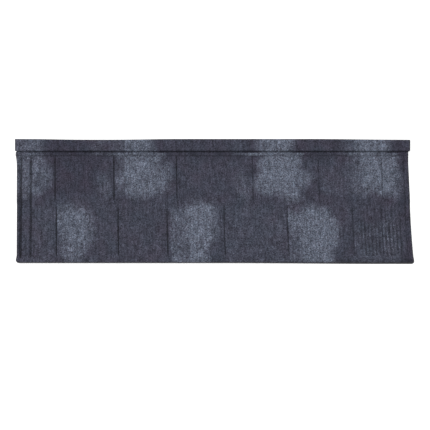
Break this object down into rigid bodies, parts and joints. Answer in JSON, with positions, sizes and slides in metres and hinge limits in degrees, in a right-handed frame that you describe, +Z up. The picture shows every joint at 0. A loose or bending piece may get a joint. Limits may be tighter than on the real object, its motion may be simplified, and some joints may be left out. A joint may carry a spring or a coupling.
{
  "type": "tile effect metal roofing sheet",
  "caption": "Pressed steel roofing sheet with staggered shingle tabs, a rear nailing flange, a turned-down nose and side laps, coated with granules.",
  "frame": {"origin": "middle of the sheet's box, on the floor it lies on", "axes": "+X along the batten towards the overlapping side edge, +Y up the roof slope towards the rear flange, +Z up from the coated face"},
  "size_m": [1.345, 0.4214, 0.025],
  "materials": {
    "granule_coat": "matt charcoal stone granules bonded to steel, with lighter blue-grey blended patches"
  },
  "bodies": {
    "root": {"roofing_sheet": "granule_coat"}
  },
  "joints": []
}
